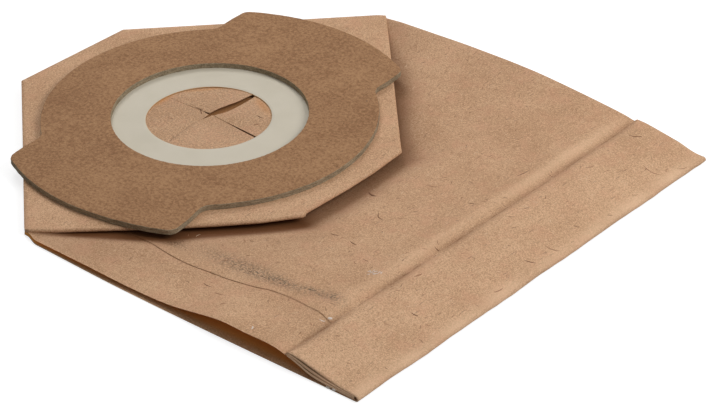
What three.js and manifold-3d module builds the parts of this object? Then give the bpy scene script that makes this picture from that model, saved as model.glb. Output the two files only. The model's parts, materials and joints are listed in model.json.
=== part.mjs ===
// A paper dust bag for a wet and dry vacuum cleaner, empty and folded flat as it comes out of its pack.
// A tube of kraft paper is pasted into a hexagonal block bottom at one end, which carries the collar board
// with its two tabs and the sealing ring. The other end is folded over on itself and glued.
//
// Millimetres, +Z up. The origin is on the underside, right below the inlet's centre.
// +X runs along the tube to the closed end, and the two tips of the block bottom point to -Y and +Y.

import * as THREE from "three";
import { mergeVertices } from "three/addons/utils/BufferGeometryUtils.js";
import Module from "manifold-3d";

const wasm = await Module();
wasm.setup();

// Tube of paper
const bagWidth = 240; // from tip to tip of the block bottom
const tubeLength = 186.5; // from the line through the tips to the closed end
const sideBulge = 0.8; // how far the sides bow out between the tips and the closed end
const endTaper = 0.5; // how much each side draws in at the closed end
const wall = 0.5; // two plies of kraft paper

// Block bottom
const blockDepth = 173; // across the two parallel sides of the hexagon
const panelStack = 1.4; // the panel and the flaps pasted behind it, pressed flat
const panelHeight = 6.6; // top face of the panel above the ground, at the inlet's centre
const panelTilt = THREE.MathUtils.degToRad(1.5); // the far tip stands higher than the near one
const foldBulge = 1.2; // how far the closed folds on the left round out past the panel

// Front wall, which springs up off the back wall
const nearLipHeight = 9;
const farLipHeight = 11.6;
const hollowHeight = 1.4; // its lowest place, beside the hexagon
const lipInset = 1.6; // how far its side edges stand in from the back wall's
const gussetDepth = 14; // how deep the sides fold inward at their deepest

// Closed end, folded over onto the front wall and glued
const foldWidth = 38.2;
const foldLift = 6.6; // top of the front wall under the strip's free edge
const stripThickness = 1.2; // the flattened tube, doubled
const stripSpring = 0.7; // how far the strip's free edge gapes
const gapeLength = 12;

// Glued seam along the front wall
const seamOffset = 92; // from the bag's centre line to the edge of the upper ply
const seamWidth = 15;
const seamStep = 0.3;

// Collar board, with a tab to each tip
const boardRadius = 76;
const boardThickness = 2.4;
const boardHole = 44.4;
const tabRadius = 93.4;
const tabHalfWidth = 47;
const tabCorner = 5;
const tabFillet = 7;
const collarTurn = THREE.MathUtils.degToRad(2); // the collar sits a little askew on the bag

// Sealing ring, let into the underside of the board
const ringHole = 28.5;
const ringLap = 7; // how far the ring reaches in under the board
const ringThickness = 0.4;

const seatGap = 0.15; // between the panel, the ring and the board
const ringPlay = 0.3; // round the ring's outer edge

// Cross slit in the panel, under the ring
const slitReach = ringHole - 1.5;
const slitWidth = 0.7;
const slitOpening = 1.8; // where the paper gapes, towards the far tip

const tipY = bagWidth / 2;
const halfDepth = blockDepth / 2;
const cornerY = tipY - halfDepth; // the hexagon's slanted edges run at 45 degrees
const stripEdge = tubeLength - foldWidth;
const endHeight = 2 * wall;

const clamp01 = (t) => Math.min(1, Math.max(0, t));
const mix = (a, b, t) => a + (b - a) * t;
const smooth = (t) => clamp01(t) ** 2 * (3 - 2 * clamp01(t));

// A smooth curve through a few points [x, value], as a function of x.
function profile(points) {
  const last = points.length - 1;
  const slope = (i) => {
    const a = points[Math.max(0, i - 1)];
    const b = points[Math.min(last, i + 1)];
    return (b[1] - a[1]) / (b[0] - a[0]);
  };
  return (x) => {
    let i = 0;
    while (i < last - 1 && x > points[i + 1][0]) i += 1;
    const [x0, v0] = points[i];
    const [x1, v1] = points[i + 1];
    const h = x1 - x0;
    const t = clamp01((x - x0) / h);
    const curve = v0 * (1 + 2 * t) * (1 - t) ** 2 + v1 * t * t * (3 - 2 * t);
    return curve + h * (slope(i) * t * (1 - t) ** 2 - slope(i + 1) * t * t * (1 - t));
  };
}

const backHalf = profile([
  [0, tipY],
  [0.45 * tubeLength, tipY + sideBulge],
  [tubeLength, tipY - endTaper],
]);

const inset = profile([
  [0, 0.2],
  [0.5 * tubeLength, lipInset],
  [stripEdge, lipInset],
  [tubeLength, 0.2],
]);

const frontHalf = (x) => backHalf(x) - inset(x);

const nearLip = profile([
  [0, 0.26 * nearLipHeight],
  [0.2 * tubeLength, 0.44 * nearLipHeight],
  [0.33 * tubeLength, 0.4 * nearLipHeight],
  [0.45 * tubeLength, 0.58 * nearLipHeight],
  [0.6 * tubeLength, nearLipHeight],
  [stripEdge, foldLift + 0.9],
  [tubeLength - 0.45 * foldWidth, 0.3 * foldLift],
  [tubeLength, endHeight],
]);

const farLip = profile([
  [0, 0.8 * farLipHeight],
  [0.33 * tubeLength, farLipHeight],
  [0.52 * tubeLength, farLipHeight],
  [stripEdge, foldLift + 0.8],
  [tubeLength, endHeight],
]);

const middle = profile([
  [0, hollowHeight + 0.4],
  [0.5 * halfDepth, hollowHeight],
  [halfDepth, hollowHeight],
  [mix(halfDepth, stripEdge, 0.5), mix(hollowHeight, foldLift, 0.45)],
  [stripEdge, foldLift],
  [tubeLength, endHeight],
]);

const panelTop = (y) => panelHeight + y * Math.tan(panelTilt);

// Height of the front wall's top face. It leaves the panel along the line through the tips, dips down
// under the hexagon's right half, stands up along both sides and comes down flat at the closed end.
function frontTop(x, y) {
  const side = y / frontHalf(Math.max(0, x));
  const lip = side < 0 ? nearLip(x) : farLip(x);
  const free = mix(middle(x), lip, Math.abs(side) ** 3);
  const joined = panelTop(y) - panelStack + 0.6 * wall;
  return mix(joined, free, Math.sin((Math.PI / 2) * clamp01(x / (0.2 * halfDepth))));
}

// A closed solid between an outer and an inner face, each a grid of points.
function shell(columns, rows, outer, inner) {
  const position = [];
  const index = [];
  const stride = rows + 1;
  const layer = (columns + 1) * stride;
  for (const face of [outer, inner])
    for (let i = 0; i <= columns; i += 1)
      for (let j = 0; j <= rows; j += 1) position.push(...face(i / columns, j / rows));
  const quad = (a, b, c, d) => index.push(a, b, c, a, c, d);
  for (let i = 0; i < columns; i += 1)
    for (let j = 0; j < rows; j += 1) {
      const a = i * stride + j;
      const b = a + stride;
      quad(a, b, b + 1, a + 1);
      quad(layer + a, layer + a + 1, layer + b + 1, layer + b);
    }
  for (let i = 0; i < columns; i += 1)
    for (const [j, turned] of [
      [0, false],
      [rows, true],
    ]) {
      const a = i * stride + j;
      const b = a + stride;
      if (turned) quad(a, b, layer + b, layer + a);
      else quad(b, a, layer + a, layer + b);
    }
  for (let j = 0; j < rows; j += 1)
    for (const [i, turned] of [
      [0, false],
      [columns, true],
    ]) {
      const a = i * stride + j;
      if (turned) quad(a + 1, a, layer + a, layer + a + 1);
      else quad(a, a + 1, layer + a + 1, layer + a);
    }
  const geometry = new THREE.BufferGeometry();
  geometry.setAttribute("position", new THREE.Float32BufferAttribute(position, 3));
  geometry.setIndex(index);
  return geometry;
}

// A sheet that lies between two heights, over the ground from x0 to x1 and across it from low(x) to high(x).
function sheet({ x0, x1, low, high, top, bottom, columns, rows }) {
  const point = (height) => (u, v) => {
    const x = mix(x0, x1, u);
    const y = mix(low(x), high(x), v);
    return [x, y, height(x, y)];
  };
  return shell(columns, rows, point(top), point(bottom));
}

// Booleans, on geometry that is already in the part's own frame.
function solid(geometry) {
  const plain = geometry.clone();
  plain.deleteAttribute("normal");
  plain.deleteAttribute("uv");
  const merged = mergeVertices(plain, 1e-5);
  return new wasm.Manifold(
    new wasm.Mesh({
      numProp: 3,
      vertProperties: new Float32Array(merged.attributes.position.array),
      triVerts: new Uint32Array(merged.index.array),
    }),
  );
}

function toGeometry(manifold) {
  const mesh = manifold.getMesh();
  const geometry = new THREE.BufferGeometry();
  geometry.setAttribute("position", new THREE.Float32BufferAttribute(mesh.vertProperties, 3));
  geometry.setIndex(new THREE.Uint32BufferAttribute(mesh.triVerts, 1));
  geometry.computeVertexNormals();
  return geometry;
}

const union = (geometries) => geometries.map(solid).reduce((all, one) => all.add(one));

// The plane of the panel: what lies on it is built flat, then tilted and lifted here.
const panelPlane = new THREE.Matrix4()
  .makeRotationX(panelTilt)
  .setPosition(0, 0, panelHeight);

function extrude(shape, depth, z, segments = 1) {
  const geometry = new THREE.ExtrudeGeometry(shape, { depth, bevelEnabled: false, curveSegments: segments });
  return geometry.translate(0, 0, z);
}

function outline(points) {
  const shape = new THREE.Shape();
  points.forEach(([x, y], i) => (i ? shape.lineTo(x, y) : shape.moveTo(x, y)));
  shape.closePath();
  return shape;
}

const leftCorners = [
  [0, -tipY],
  [-halfDepth, -cornerY],
  [-halfDepth, cornerY],
  [0, tipY],
];

function backWall() {
  const steps = 12;
  const side = (sign) =>
    Array.from({ length: steps }, (_, i) => {
      const x = (tubeLength * (i + 1)) / steps;
      return [x, sign * backHalf(x)];
    });
  return extrude(outline([...side(-1), ...side(1).reverse(), ...[...leftCorners].reverse()]), wall, 0);
}

function panel() {
  const right = [...leftCorners].reverse().map(([x, y]) => [-x, y]);
  const hexagon = outline([...leftCorners, ...right.slice(1, -1)].reverse());
  return extrude(hexagon, panelStack, -panelStack).applyMatrix4(panelPlane);
}

// On the left the back wall turns up and over into the panel: a rounded fold round three edges.
function leftFold() {
  const path = leftCorners.map(([x, y]) => new THREE.Vector2(x, y));
  const outward = path.map((p, i) => {
    const edges = [path[i - 1], path[i + 1]].flatMap((q, k) => {
      if (!q) return [];
      const along = k ? q.clone().sub(p) : p.clone().sub(q);
      return [new THREE.Vector2(along.y, -along.x).normalize()];
    });
    const sum = edges.reduce((a, b) => a.clone().add(b)).normalize();
    return sum.multiplyScalar(-1 / sum.dot(edges[0]));
  });
  const face = (depth) => (u, v) => {
    const i = Math.round(u * (path.length - 1));
    const angle = Math.PI * (v - 0.5);
    const reach = (foldBulge - depth) * Math.cos(angle) - wall;
    const { x, y } = path[i].clone().addScaledVector(outward[i], -reach);
    const half = panelTop(y) / 2;
    return [x, y, half + (half - depth) * Math.sin(angle)];
  };
  return shell(path.length - 1, 8, face(0), face(wall));
}

function frontWall() {
  return sheet({
    x0: -2,
    x1: tubeLength - wall,
    low: (x) => -frontHalf(Math.max(0, x)),
    high: (x) => frontHalf(Math.max(0, x)),
    top: frontTop,
    bottom: (x, y) => frontTop(x, y) - wall,
    columns: 30,
    rows: 16,
  });
}

// Each side of the tube folds inward between the back wall's edge and the front wall's lip.
function sideFold(sign) {
  const depth = profile([
    [0, 0],
    [0.5 * tubeLength, gussetDepth],
    [stripEdge, gussetDepth],
    [tubeLength, 2],
  ]);
  const face = (offset) => (u, v) => {
    const x = u * (tubeLength - wall);
    const low = wall / 2;
    const lip = frontTop(x, sign * frontHalf(x)) - wall / 2;
    const edge = mix(backHalf(x), frontHalf(x), v) - 0.1;
    const y = edge - offset - depth(x) * (1 - Math.abs(2 * v - 1) ** 1.5);
    return [x, sign * y, mix(low, lip, v)];
  };
  return sign < 0 ? shell(24, 6, face(0), face(wall)) : shell(24, 6, face(wall), face(0));
}

// The flattened tube, folded over at the closed end. Its free edge springs up off the front wall.
function endStrip() {
  const gape = (x) => stripSpring * (1 - smooth((x - stripEdge) / gapeLength));
  const seat = (x) => gape(x) - 0.3 * wall * smooth((x - stripEdge) / gapeLength);
  return sheet({
    x0: stripEdge,
    x1: tubeLength - wall,
    low: (x) => -frontHalf(x) - 0.3,
    high: (x) => frontHalf(x) + 0.3,
    top: (x, y) => frontTop(x, y) + seat(x) + stripThickness,
    bottom: (x, y) => frontTop(x, y) + seat(x),
    columns: 10,
    rows: 16,
  });
}

// The fold itself, a round edge from the back wall over to the strip.
function endFold() {
  const radius = (endHeight + stripThickness) / 2;
  const length = 2 * (backHalf(tubeLength) - 0.2);
  return new THREE.CylinderGeometry(radius, radius, length, 16).translate(tubeLength - radius, 0, radius);
}

// The upper ply of the seam ends in a step, and thins out towards the middle of the bag.
function seam() {
  return sheet({
    x0: 4,
    x1: stripEdge + gapeLength,
    low: () => -seamOffset,
    high: () => seamWidth - seamOffset,
    top: (x, y) => frontTop(x, y) + seamStep * (1 - (0.9 * (y + seamOffset)) / seamWidth),
    bottom: (x, y) => frontTop(x, y) - wall,
    columns: 24,
    rows: 2,
  });
}

// One arm of the cross slit: a thin wedge from the centre out. On the right only the panel's own ply is cut.
function slitArm(angle, width) {
  const arm = outline([
    [-slitWidth / 2, -width / 2],
    [slitReach, -slitWidth / 4],
    [slitReach, slitWidth / 4],
    [-slitWidth / 2, width / 2],
  ]);
  const through = Math.cos(angle) < 0.5;
  const depth = through ? panelStack + 4 * wall : wall;
  return extrude(arm, depth + 1, -depth).rotateZ(angle).applyMatrix4(panelPlane);
}

function paperBag() {
  const folded = union([
    backWall(),
    panel(),
    leftFold(),
    frontWall(),
    sideFold(-1),
    sideFold(1),
    endStrip(),
    endFold(),
    seam(),
  ]);
  const slits = union([
    slitArm(0, slitWidth),
    slitArm(Math.PI / 2, slitOpening),
    slitArm(Math.PI, slitWidth),
    slitArm(-Math.PI / 2, slitWidth),
  ]);
  return toGeometry(folded.subtract(slits));
}

// The board's outline: a disc with a wide tab to each tip, round corners outside and fillets at the roots.
function boardShape() {
  const shape = new THREE.Shape();
  const rootX = tabHalfWidth + tabFillet;
  const rootY = Math.sqrt((boardRadius + tabFillet) ** 2 - rootX ** 2);
  const rootAngle = Math.atan2(rootY, rootX);
  const cornerX = tabHalfWidth - tabCorner;
  const cornerCentreY = Math.sqrt((tabRadius - tabCorner) ** 2 - cornerX ** 2);
  const cornerAngle = Math.atan2(cornerCentreY, cornerX);
  for (const [turn, flip] of [
    [0, 1],
    [Math.PI, -1],
  ]) {
    const arc = (x, y, radius, from, to, clockwise) =>
      shape.absarc(flip * x, flip * y, radius, from + turn, to + turn, clockwise);
    arc(rootX, rootY, tabFillet, rootAngle - Math.PI, -Math.PI, true);
    arc(cornerX, cornerCentreY, tabCorner, 0, cornerAngle, false);
    arc(0, 0, tabRadius, cornerAngle, Math.PI - cornerAngle, false);
    arc(-cornerX, cornerCentreY, tabCorner, Math.PI - cornerAngle, Math.PI, false);
    arc(-rootX, rootY, tabFillet, 0, -rootAngle, true);
    arc(0, 0, boardRadius, Math.PI - rootAngle, Math.PI + rootAngle, false);
  }
  return shape;
}

function circle(radius) {
  return new THREE.Shape().absarc(0, 0, radius, 0, 2 * Math.PI, false);
}

const ringRadius = boardHole + ringLap;

function collarBoard() {
  const shape = boardShape();
  shape.holes.push(circle(boardHole));
  const pocketDepth = ringThickness + seatGap;
  const pocket = extrude(circle(ringRadius + ringPlay), pocketDepth + 1, seatGap - 1, 48);
  const board = extrude(shape, boardThickness, seatGap, 24);
  return toGeometry(solid(board).subtract(solid(pocket)));
}

function sealRing() {
  const shape = circle(ringRadius);
  shape.holes.push(circle(ringHole));
  return extrude(shape, ringThickness, seatGap, 48);
}

const kraft = new THREE.MeshStandardMaterial({ color: 0xb98e68, roughness: 0.85, metalness: 0 });
const greyBoard = new THREE.MeshStandardMaterial({ color: 0x94694c, roughness: 0.9, metalness: 0 });
const membrane = new THREE.MeshStandardMaterial({ color: 0xdcd6c6, roughness: 0.6, metalness: 0 });

function named(name, geometry, material) {
  const mesh = new THREE.Mesh(geometry, material);
  mesh.name = name;
  return mesh;
}

const dustBag = new THREE.Group();
dustBag.add(named("paper_bag", paperBag(), kraft));

const collar = new THREE.Group();
collar.rotation.set(panelTilt, 0, collarTurn);
collar.position.z = panelHeight;
collar.add(named("collar_board", collarBoard(), greyBoard));
collar.add(named("seal_ring", sealRing(), membrane));
dustBag.add(collar);

export default dustBag;
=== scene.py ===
"""A flat folded paper dust bag with a board collar, on a pale floor, seen from its near right corner."""

import json
import math

import bpy
import numpy as np
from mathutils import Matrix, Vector

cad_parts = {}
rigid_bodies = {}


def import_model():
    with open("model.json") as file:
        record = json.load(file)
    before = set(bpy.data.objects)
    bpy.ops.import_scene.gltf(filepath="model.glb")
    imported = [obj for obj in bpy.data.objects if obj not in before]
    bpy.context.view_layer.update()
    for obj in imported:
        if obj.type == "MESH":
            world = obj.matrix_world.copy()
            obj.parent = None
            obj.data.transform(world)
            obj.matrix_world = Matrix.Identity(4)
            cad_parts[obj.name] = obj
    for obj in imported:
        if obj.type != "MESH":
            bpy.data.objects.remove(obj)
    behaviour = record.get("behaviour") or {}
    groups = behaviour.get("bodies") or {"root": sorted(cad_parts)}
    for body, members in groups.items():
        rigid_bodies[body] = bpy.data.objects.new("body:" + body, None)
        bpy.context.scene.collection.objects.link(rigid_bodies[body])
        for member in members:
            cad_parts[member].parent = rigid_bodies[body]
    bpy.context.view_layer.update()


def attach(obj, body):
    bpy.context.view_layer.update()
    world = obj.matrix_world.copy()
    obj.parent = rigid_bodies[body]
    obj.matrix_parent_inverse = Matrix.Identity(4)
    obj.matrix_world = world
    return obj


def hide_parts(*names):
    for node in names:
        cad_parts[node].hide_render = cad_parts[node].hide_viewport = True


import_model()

MM = 0.001

# Sizes of the solids, in millimetres, as the part's source has them
BAG_WIDTH = 240.0
TUBE_LENGTH = 186.5
SIDE_BULGE = 0.8
END_TAPER = 0.5
BLOCK_DEPTH = 173.0
PANEL_STACK = 1.4
PANEL_HEIGHT = 6.6
PANEL_TILT = math.radians(1.5)
FAR_LIP = 11.6
LIP_INSET = 1.6
GUSSET_DEPTH = 14.0
FOLD_WIDTH = 38.2
FOLD_LIFT = 6.6
STRIP_THICKNESS = 1.2
BOARD_RADIUS = 76.0
BOARD_THICKNESS = 2.4
BOARD_HOLE = 44.4
TAB_RADIUS = 93.4
TAB_HALF_WIDTH = 47.0
TAB_CORNER = 5.0
TAB_FILLET = 7.0
BOARD_TURN = math.radians(2.0)
RING_HOLE = 28.5
RING_LAP = 7.0
RING_THICKNESS = 0.4
SEAT_GAP = 0.15  # between the panel, the ring and the board
SEAM_STEP = 0.3
SEAM_WIDTH = 15.0  # of the glued lap, over which the step thins out
END_HEIGHT = 1.0  # height of the front wall at the closed end

# Sizes of what only the looks have, in millimetres
HOLLOW = 0.75  # height of the front wall where it lies under the panel
PAPER = 0.32  # thickness of the two plies
BAG_SHIFT = 0.8  # how far the tube lies off the inlet's centre line
JOIN_LENGTH = 14.0  # over which the front wall drops away from the panel
SWELL_LENGTH = 17.0  # over which it comes up again beside the hexagon
CREASE_DIP = 1.2  # how far it dips in front of the end strip
CREASE_WIDTH = 4.2
RIDGE_HEIGHT = 0.8  # how far it bulges just before that dip
RIDGE_WIDTH = 4.5
RIDGE_X = 7.0  # how far the bulge lies before the strip
PASTED_Y = 36.0  # from where the panel and the front wall are pasted together, beside the slit
NEAR_PULL = 0.8  # how much narrower the tube is on the near side, at the tips
NEAR_PULL_LENGTH = 60.0
TIP_PULL = 2.6  # how much the near tip itself is cut short
TIP_PULL_LENGTH = 9.0
RING_SINK = 0.45  # how far the ring and the paper under it have sagged
RING_PULL = math.radians(-50.0)  # the way in which the ring's hole is a little narrower
WAVE_COUNT = 7  # sines that make up a ripple

# Driven sizes
TIP_Y = BAG_WIDTH / 2
HALF_DEPTH = BLOCK_DEPTH / 2
CORNER_Y = TIP_Y - HALF_DEPTH
STRIP_EDGE = TUBE_LENGTH - FOLD_WIDTH


def mix(a, b, t):
    return a + (b - a) * t


def smooth(t):
    t = np.clip(t, 0.0, 1.0)
    return t * t * (3.0 - 2.0 * t)


def bump(x, centre, width):
    """A smooth hump of height 1."""
    return np.exp(-(((x - centre) / width) ** 2))


def profile(points):
    """A smooth curve through a few points (x, value), as a function of x."""
    xs, values = np.array(points, float).T
    last = len(xs) - 1
    before = np.maximum(np.arange(last + 1) - 1, 0)
    after = np.minimum(np.arange(last + 1) + 1, last)
    slopes = (values[after] - values[before]) / (xs[after] - xs[before])

    def at(x):
        x = np.asarray(x, float)
        i = np.clip(np.searchsorted(xs, x, side="right") - 1, 0, last - 1)
        h = xs[i + 1] - xs[i]
        t = np.clip((x - xs[i]) / h, 0.0, 1.0)
        curve = values[i] * (1 + 2 * t) * (1 - t) ** 2 + values[i + 1] * t * t * (3 - 2 * t)
        return curve + h * (slopes[i] * t * (1 - t) ** 2 - slopes[i + 1] * t * t * (1 - t))

    return at


def ripple(x, y, seed, wavelength, height):
    """Soft random waves in the paper, made of a few sines in all directions."""
    rng = np.random.default_rng(seed)
    total = np.zeros(np.broadcast(x, y).shape)
    for _ in range(WAVE_COUNT):
        turn = rng.uniform(0.0, math.pi)
        length = wavelength * rng.uniform(0.7, 1.5)
        phase = rng.uniform(0.0, 2 * math.pi)
        along = x * math.cos(turn) + y * math.sin(turn)
        total = total + np.sin(2 * math.pi * along / length + phase)
    return height * total / math.sqrt(WAVE_COUNT)


# The tube's form as curves of x: half widths, insets, and heights of the front wall's lips and middle
back_half = profile([
    (0, TIP_Y), (0.45 * TUBE_LENGTH, TIP_Y + SIDE_BULGE), (TUBE_LENGTH, TIP_Y - END_TAPER),
])
inset = profile([(0, 0.2), (0.5 * TUBE_LENGTH, LIP_INSET), (STRIP_EDGE, LIP_INSET), (TUBE_LENGTH, 0.2)])
near_lip = profile([
    (0, 2.2), (22, 2.2), (41, 2.4), (66, 2.1), (86, 2.9), (100, 5.0), (113, 6.9), (128, 6.8),
    (140, 6.9), (STRIP_EDGE, 5.9), (156, 3.0), (161, 1.3), (167, 0.7), (TUBE_LENGTH, 0.7),
])
far_lip = profile([
    (0, 0.78 * FAR_LIP), (0.33 * TUBE_LENGTH, FAR_LIP), (0.52 * TUBE_LENGTH, FAR_LIP),
    (STRIP_EDGE, FOLD_LIFT + 1.0), (TUBE_LENGTH, END_HEIGHT),
])
middle = profile([
    (0, HOLLOW + 1.0), (0.5 * HALF_DEPTH, HOLLOW + 1.4), (HALF_DEPTH, HOLLOW + 2.4),
    (HALF_DEPTH + 16, HOLLOW + 4.0), (STRIP_EDGE - 20, FOLD_LIFT - 0.2),
    (STRIP_EDGE - 6, FOLD_LIFT + 0.6), (STRIP_EDGE, FOLD_LIFT + 0.4), (TUBE_LENGTH, END_HEIGHT),
])
gusset = profile([(0, 0), (0.5 * TUBE_LENGTH, GUSSET_DEPTH), (STRIP_EDGE, GUSSET_DEPTH), (TUBE_LENGTH, 2)])
seam_y = profile([
    (20, -88), (44, -89.1), (56, -90.8), (70, -91.7), (86, -90.6), (97, -90.6), (107, -90),
    (114, -88.4), (126, -87.8), (146, -90.2),
])


def front_half(x):
    """Half width of the front wall."""
    return back_half(x) - inset(x)


def near_pull(x):
    """How much narrower the tube is on the near side: its tip is folded shorter than the far one."""
    wide = NEAR_PULL * (1 - smooth(x / NEAR_PULL_LENGTH))
    return wide + TIP_PULL * (1 - smooth(x / TIP_PULL_LENGTH))


def panel_top(y):
    """Height of the tilted panel's top face."""
    return PANEL_HEIGHT + y * math.tan(PANEL_TILT)


def front_top(x, y):
    """Height of the front wall's top face, with its soft waves and the crease before the strip."""
    ahead = np.maximum(x, 0.0)
    side = np.clip(y / front_half(ahead), -1.0, 1.0)
    lip = np.where(side < 0, near_lip(ahead), far_lip(ahead))
    free = mix(middle(ahead), lip, np.abs(side) ** 3)
    clear = np.maximum(ahead - HALF_DEPTH, (ahead + np.abs(y) - TIP_Y) / math.sqrt(2))
    low = mix(HOLLOW, 0.5 * FAR_LIP, smooth(y / TIP_Y))
    sunk = (1 - smooth(clear / SWELL_LENGTH + 0.1)) * (1 - side**8)
    free = mix(free, np.minimum(low, free), sunk)
    joined = mix(HOLLOW, panel_top(y) - PANEL_STACK - 0.1, smooth((np.abs(y) - PASTED_Y) / 10.0))
    height = mix(joined, free, np.sin(math.pi / 2 * np.clip(ahead / JOIN_LENGTH, 0.0, 1.0)))
    slack = smooth(ahead / 40.0) * smooth((TUBE_LENGTH - ahead) / 45.0)
    waves = ripple(x, y, 3, 62.0, 0.26) + ripple(x, y, 5, 21.0, 0.06)
    dip = CREASE_DIP * bump(x, STRIP_EDGE, CREASE_WIDTH) * (1 - 0.6 * side**6)
    ridge = RIDGE_HEIGHT * bump(x, STRIP_EDGE - RIDGE_X, RIDGE_WIDTH) * (1 - side**6)
    return height + slack * waves * (1 - 0.7 * side**8) + ridge - dip


def seam_rise(x, y):
    """The upper ply of the glued seam: a step up at its edge, thinning out behind it."""
    behind = y - seam_y(x)
    return np.where(behind >= 0, SEAM_STEP * np.clip(1 - behind / SEAM_WIDTH, 0, 1), 0.0)


# Meshes

# What each point of a paper sheet says of its looks, from 0 to 1: grey dust and painted shade, the seam's
# dark edge and painted shade, painted glow round the ring's hole, painted warm bounce in a fold, painted
# highlight
LOOKS = ("grime", "line", "stain", "deep", "worn")


def add_mesh(name, points, faces, materials, slots=None, looks=None, sharp=None):
    """Adds a smooth piece from points in millimetres; sharp is the angle above which an edge shows."""
    mesh = bpy.data.meshes.new(name)
    corners = [tuple(int(i) for i in face) for face in faces]
    mesh.from_pydata((np.asarray(points, float) * MM).tolist(), [], corners)
    for material in materials:
        mesh.materials.append(material)
    if slots is not None:
        mesh.polygons.foreach_set("material_index", np.asarray(slots, np.int32))
    for key in LOOKS:
        values = (looks or {}).get(key, np.zeros(len(mesh.vertices)))
        layer = mesh.attributes.new(key, "FLOAT", "POINT")
        layer.data.foreach_set("value", np.asarray(values, np.float32).ravel())
    mesh.validate()
    mesh.shade_smooth()
    if sharp:
        mesh.set_sharp_from_angle(angle=math.radians(sharp))
    piece = bpy.data.objects.new(name, mesh)
    bpy.context.scene.collection.objects.link(piece)
    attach(piece, "root")
    return piece


def grid_faces(columns, rows, offset=0, wrap=False):
    """Quads of a grid of points, stored column by column; wrap joins each column's ends."""
    i, j = np.meshgrid(np.arange(columns - 1), np.arange(rows if wrap else rows - 1), indexing="ij")
    k = (j + 1) % rows
    a, b, c, d = i * rows + j, (i + 1) * rows + j, (i + 1) * rows + k, i * rows + k
    return np.stack([a, b, c, d], -1).reshape(-1, 4) + offset


def thicken(piece, thickness, offset=0.0):
    """Gives a sheet its thickness."""
    solidify = piece.modifiers.new("thickness", "SOLIDIFY")
    solidify.thickness = thickness * MM
    solidify.offset = offset
    solidify.use_rim = True


# Materials


def srgb(r, g, b):
    """A colour on the usual 0 to 255 scale, as linear light."""

    def channel(c):
        c /= 255.0
        return c / 12.92 if c <= 0.04045 else ((c + 0.055) / 1.055) ** 2.4

    return (channel(r), channel(g), channel(b), 1.0)


DUST_AND_SHADE_GREY = srgb(84, 76, 62)
FOLD_BOUNCE_COLOUR = srgb(240, 164, 76)
HIGHLIGHT_COLOUR = srgb(234, 196, 160)
RING_GLOW_COLOUR = srgb(196, 128, 58)
SHADE = srgb(100, 60, 28)
ROSY = srgb(206, 154, 122)


class Shader:
    """A material's node tree, with short calls for the nodes used here."""

    def __init__(self, name, roughness, specular=0.3):
        self.material = bpy.data.materials.new(name)
        self.material.use_nodes = True
        self.tree = self.material.node_tree
        self.surface = self.tree.nodes["Principled BSDF"]
        self.surface.inputs["Roughness"].default_value = roughness
        self.surface.inputs["Specular IOR Level"].default_value = specular
        self.place = self.node("TexCoord").outputs["Object"]

    def node(self, kind):
        return self.tree.nodes.new(f"ShaderNode{kind}")

    def link(self, source, target):
        if isinstance(source, bpy.types.NodeSocket):
            self.tree.links.new(source, target)
        else:
            target.default_value = source

    def scaled(self, x, y, z, turn=0.0):
        node = self.node("Mapping")
        node.inputs["Scale"].default_value = (x, y, z)
        node.inputs["Rotation"].default_value = (0.0, 0.0, turn)
        self.link(self.place, node.inputs["Vector"])
        return node.outputs["Vector"]

    def noise(self, scale, detail=3.0, roughness=0.55, vector=None):
        node = self.node("TexNoise")
        node.inputs["Scale"].default_value = scale
        node.inputs["Detail"].default_value = detail
        node.inputs["Roughness"].default_value = roughness
        self.link(vector or self.place, node.inputs["Vector"])
        return node.outputs["Fac"]

    def math(self, operation, a, b):
        node = self.node("Math")
        node.operation = operation
        self.link(a, node.inputs[0])
        self.link(b, node.inputs[1])
        return node.outputs[0]

    def moved(self, vector, shift):
        node = self.node("VectorMath")
        self.link(vector, node.inputs[0])
        self.link(shift, node.inputs[1])
        return node.outputs[0]

    def total(self, *parts):
        """The sum of several values, each times its weight."""
        value = 0.0
        for part, weight in parts:
            value = self.math("ADD", value, self.math("MULTIPLY", part, weight))
        return value

    def spread(self, value, low, high, to_low=0.0, to_high=1.0):
        node = self.node("MapRange")
        node.interpolation_type = "SMOOTHSTEP"
        self.link(value, node.inputs["Value"])
        for key, number in (("From Min", low), ("From Max", high), ("To Min", to_low), ("To Max", to_high)):
            node.inputs[key].default_value = number
        return node.outputs["Result"]

    def blend(self, factor, a, b, strength=1.0):
        """Colour a with b over it, as strong as the factor times the strength."""
        node = self.node("Mix")
        node.data_type = "RGBA"
        self.link(self.math("MULTIPLY", factor, strength), node.inputs["Factor"])
        self.link(a, node.inputs["A"])
        self.link(b, node.inputs["B"])
        return node.outputs["Result"]

    def attribute(self, name):
        node = self.node("Attribute")
        node.attribute_name = name
        return node.outputs["Fac"]

    def relief(self, height, distance, strength):
        node = self.node("Bump")
        node.inputs["Distance"].default_value = distance
        node.inputs["Strength"].default_value = strength
        self.link(height, node.inputs["Height"])
        self.link(node.outputs["Normal"], self.surface.inputs["Normal"])

    def colour(self, value):
        self.link(value, self.surface.inputs["Base Color"])
        return self.material


def fibres(shader, scale, turn, width, keep, seed):
    """A sparse mask of short fibres that lie mostly one way."""
    place = shader.scaled(scale, scale * 0.16, scale * 0.16, turn)
    place = shader.moved(place, shader.noise(scale * 0.35, 2.0))
    node = shader.node("TexVoronoi")
    node.inputs["Scale"].default_value = 1.0
    shader.link(shader.moved(place, (seed * 3.1, seed * 7.7, 0.0)), node.inputs["Vector"])
    line = shader.spread(node.outputs["Distance"], width, 0.4 * width)
    pick = shader.spread(node.outputs["Color"], keep, keep + 0.02)
    return shader.math("MULTIPLY", line, pick)


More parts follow.
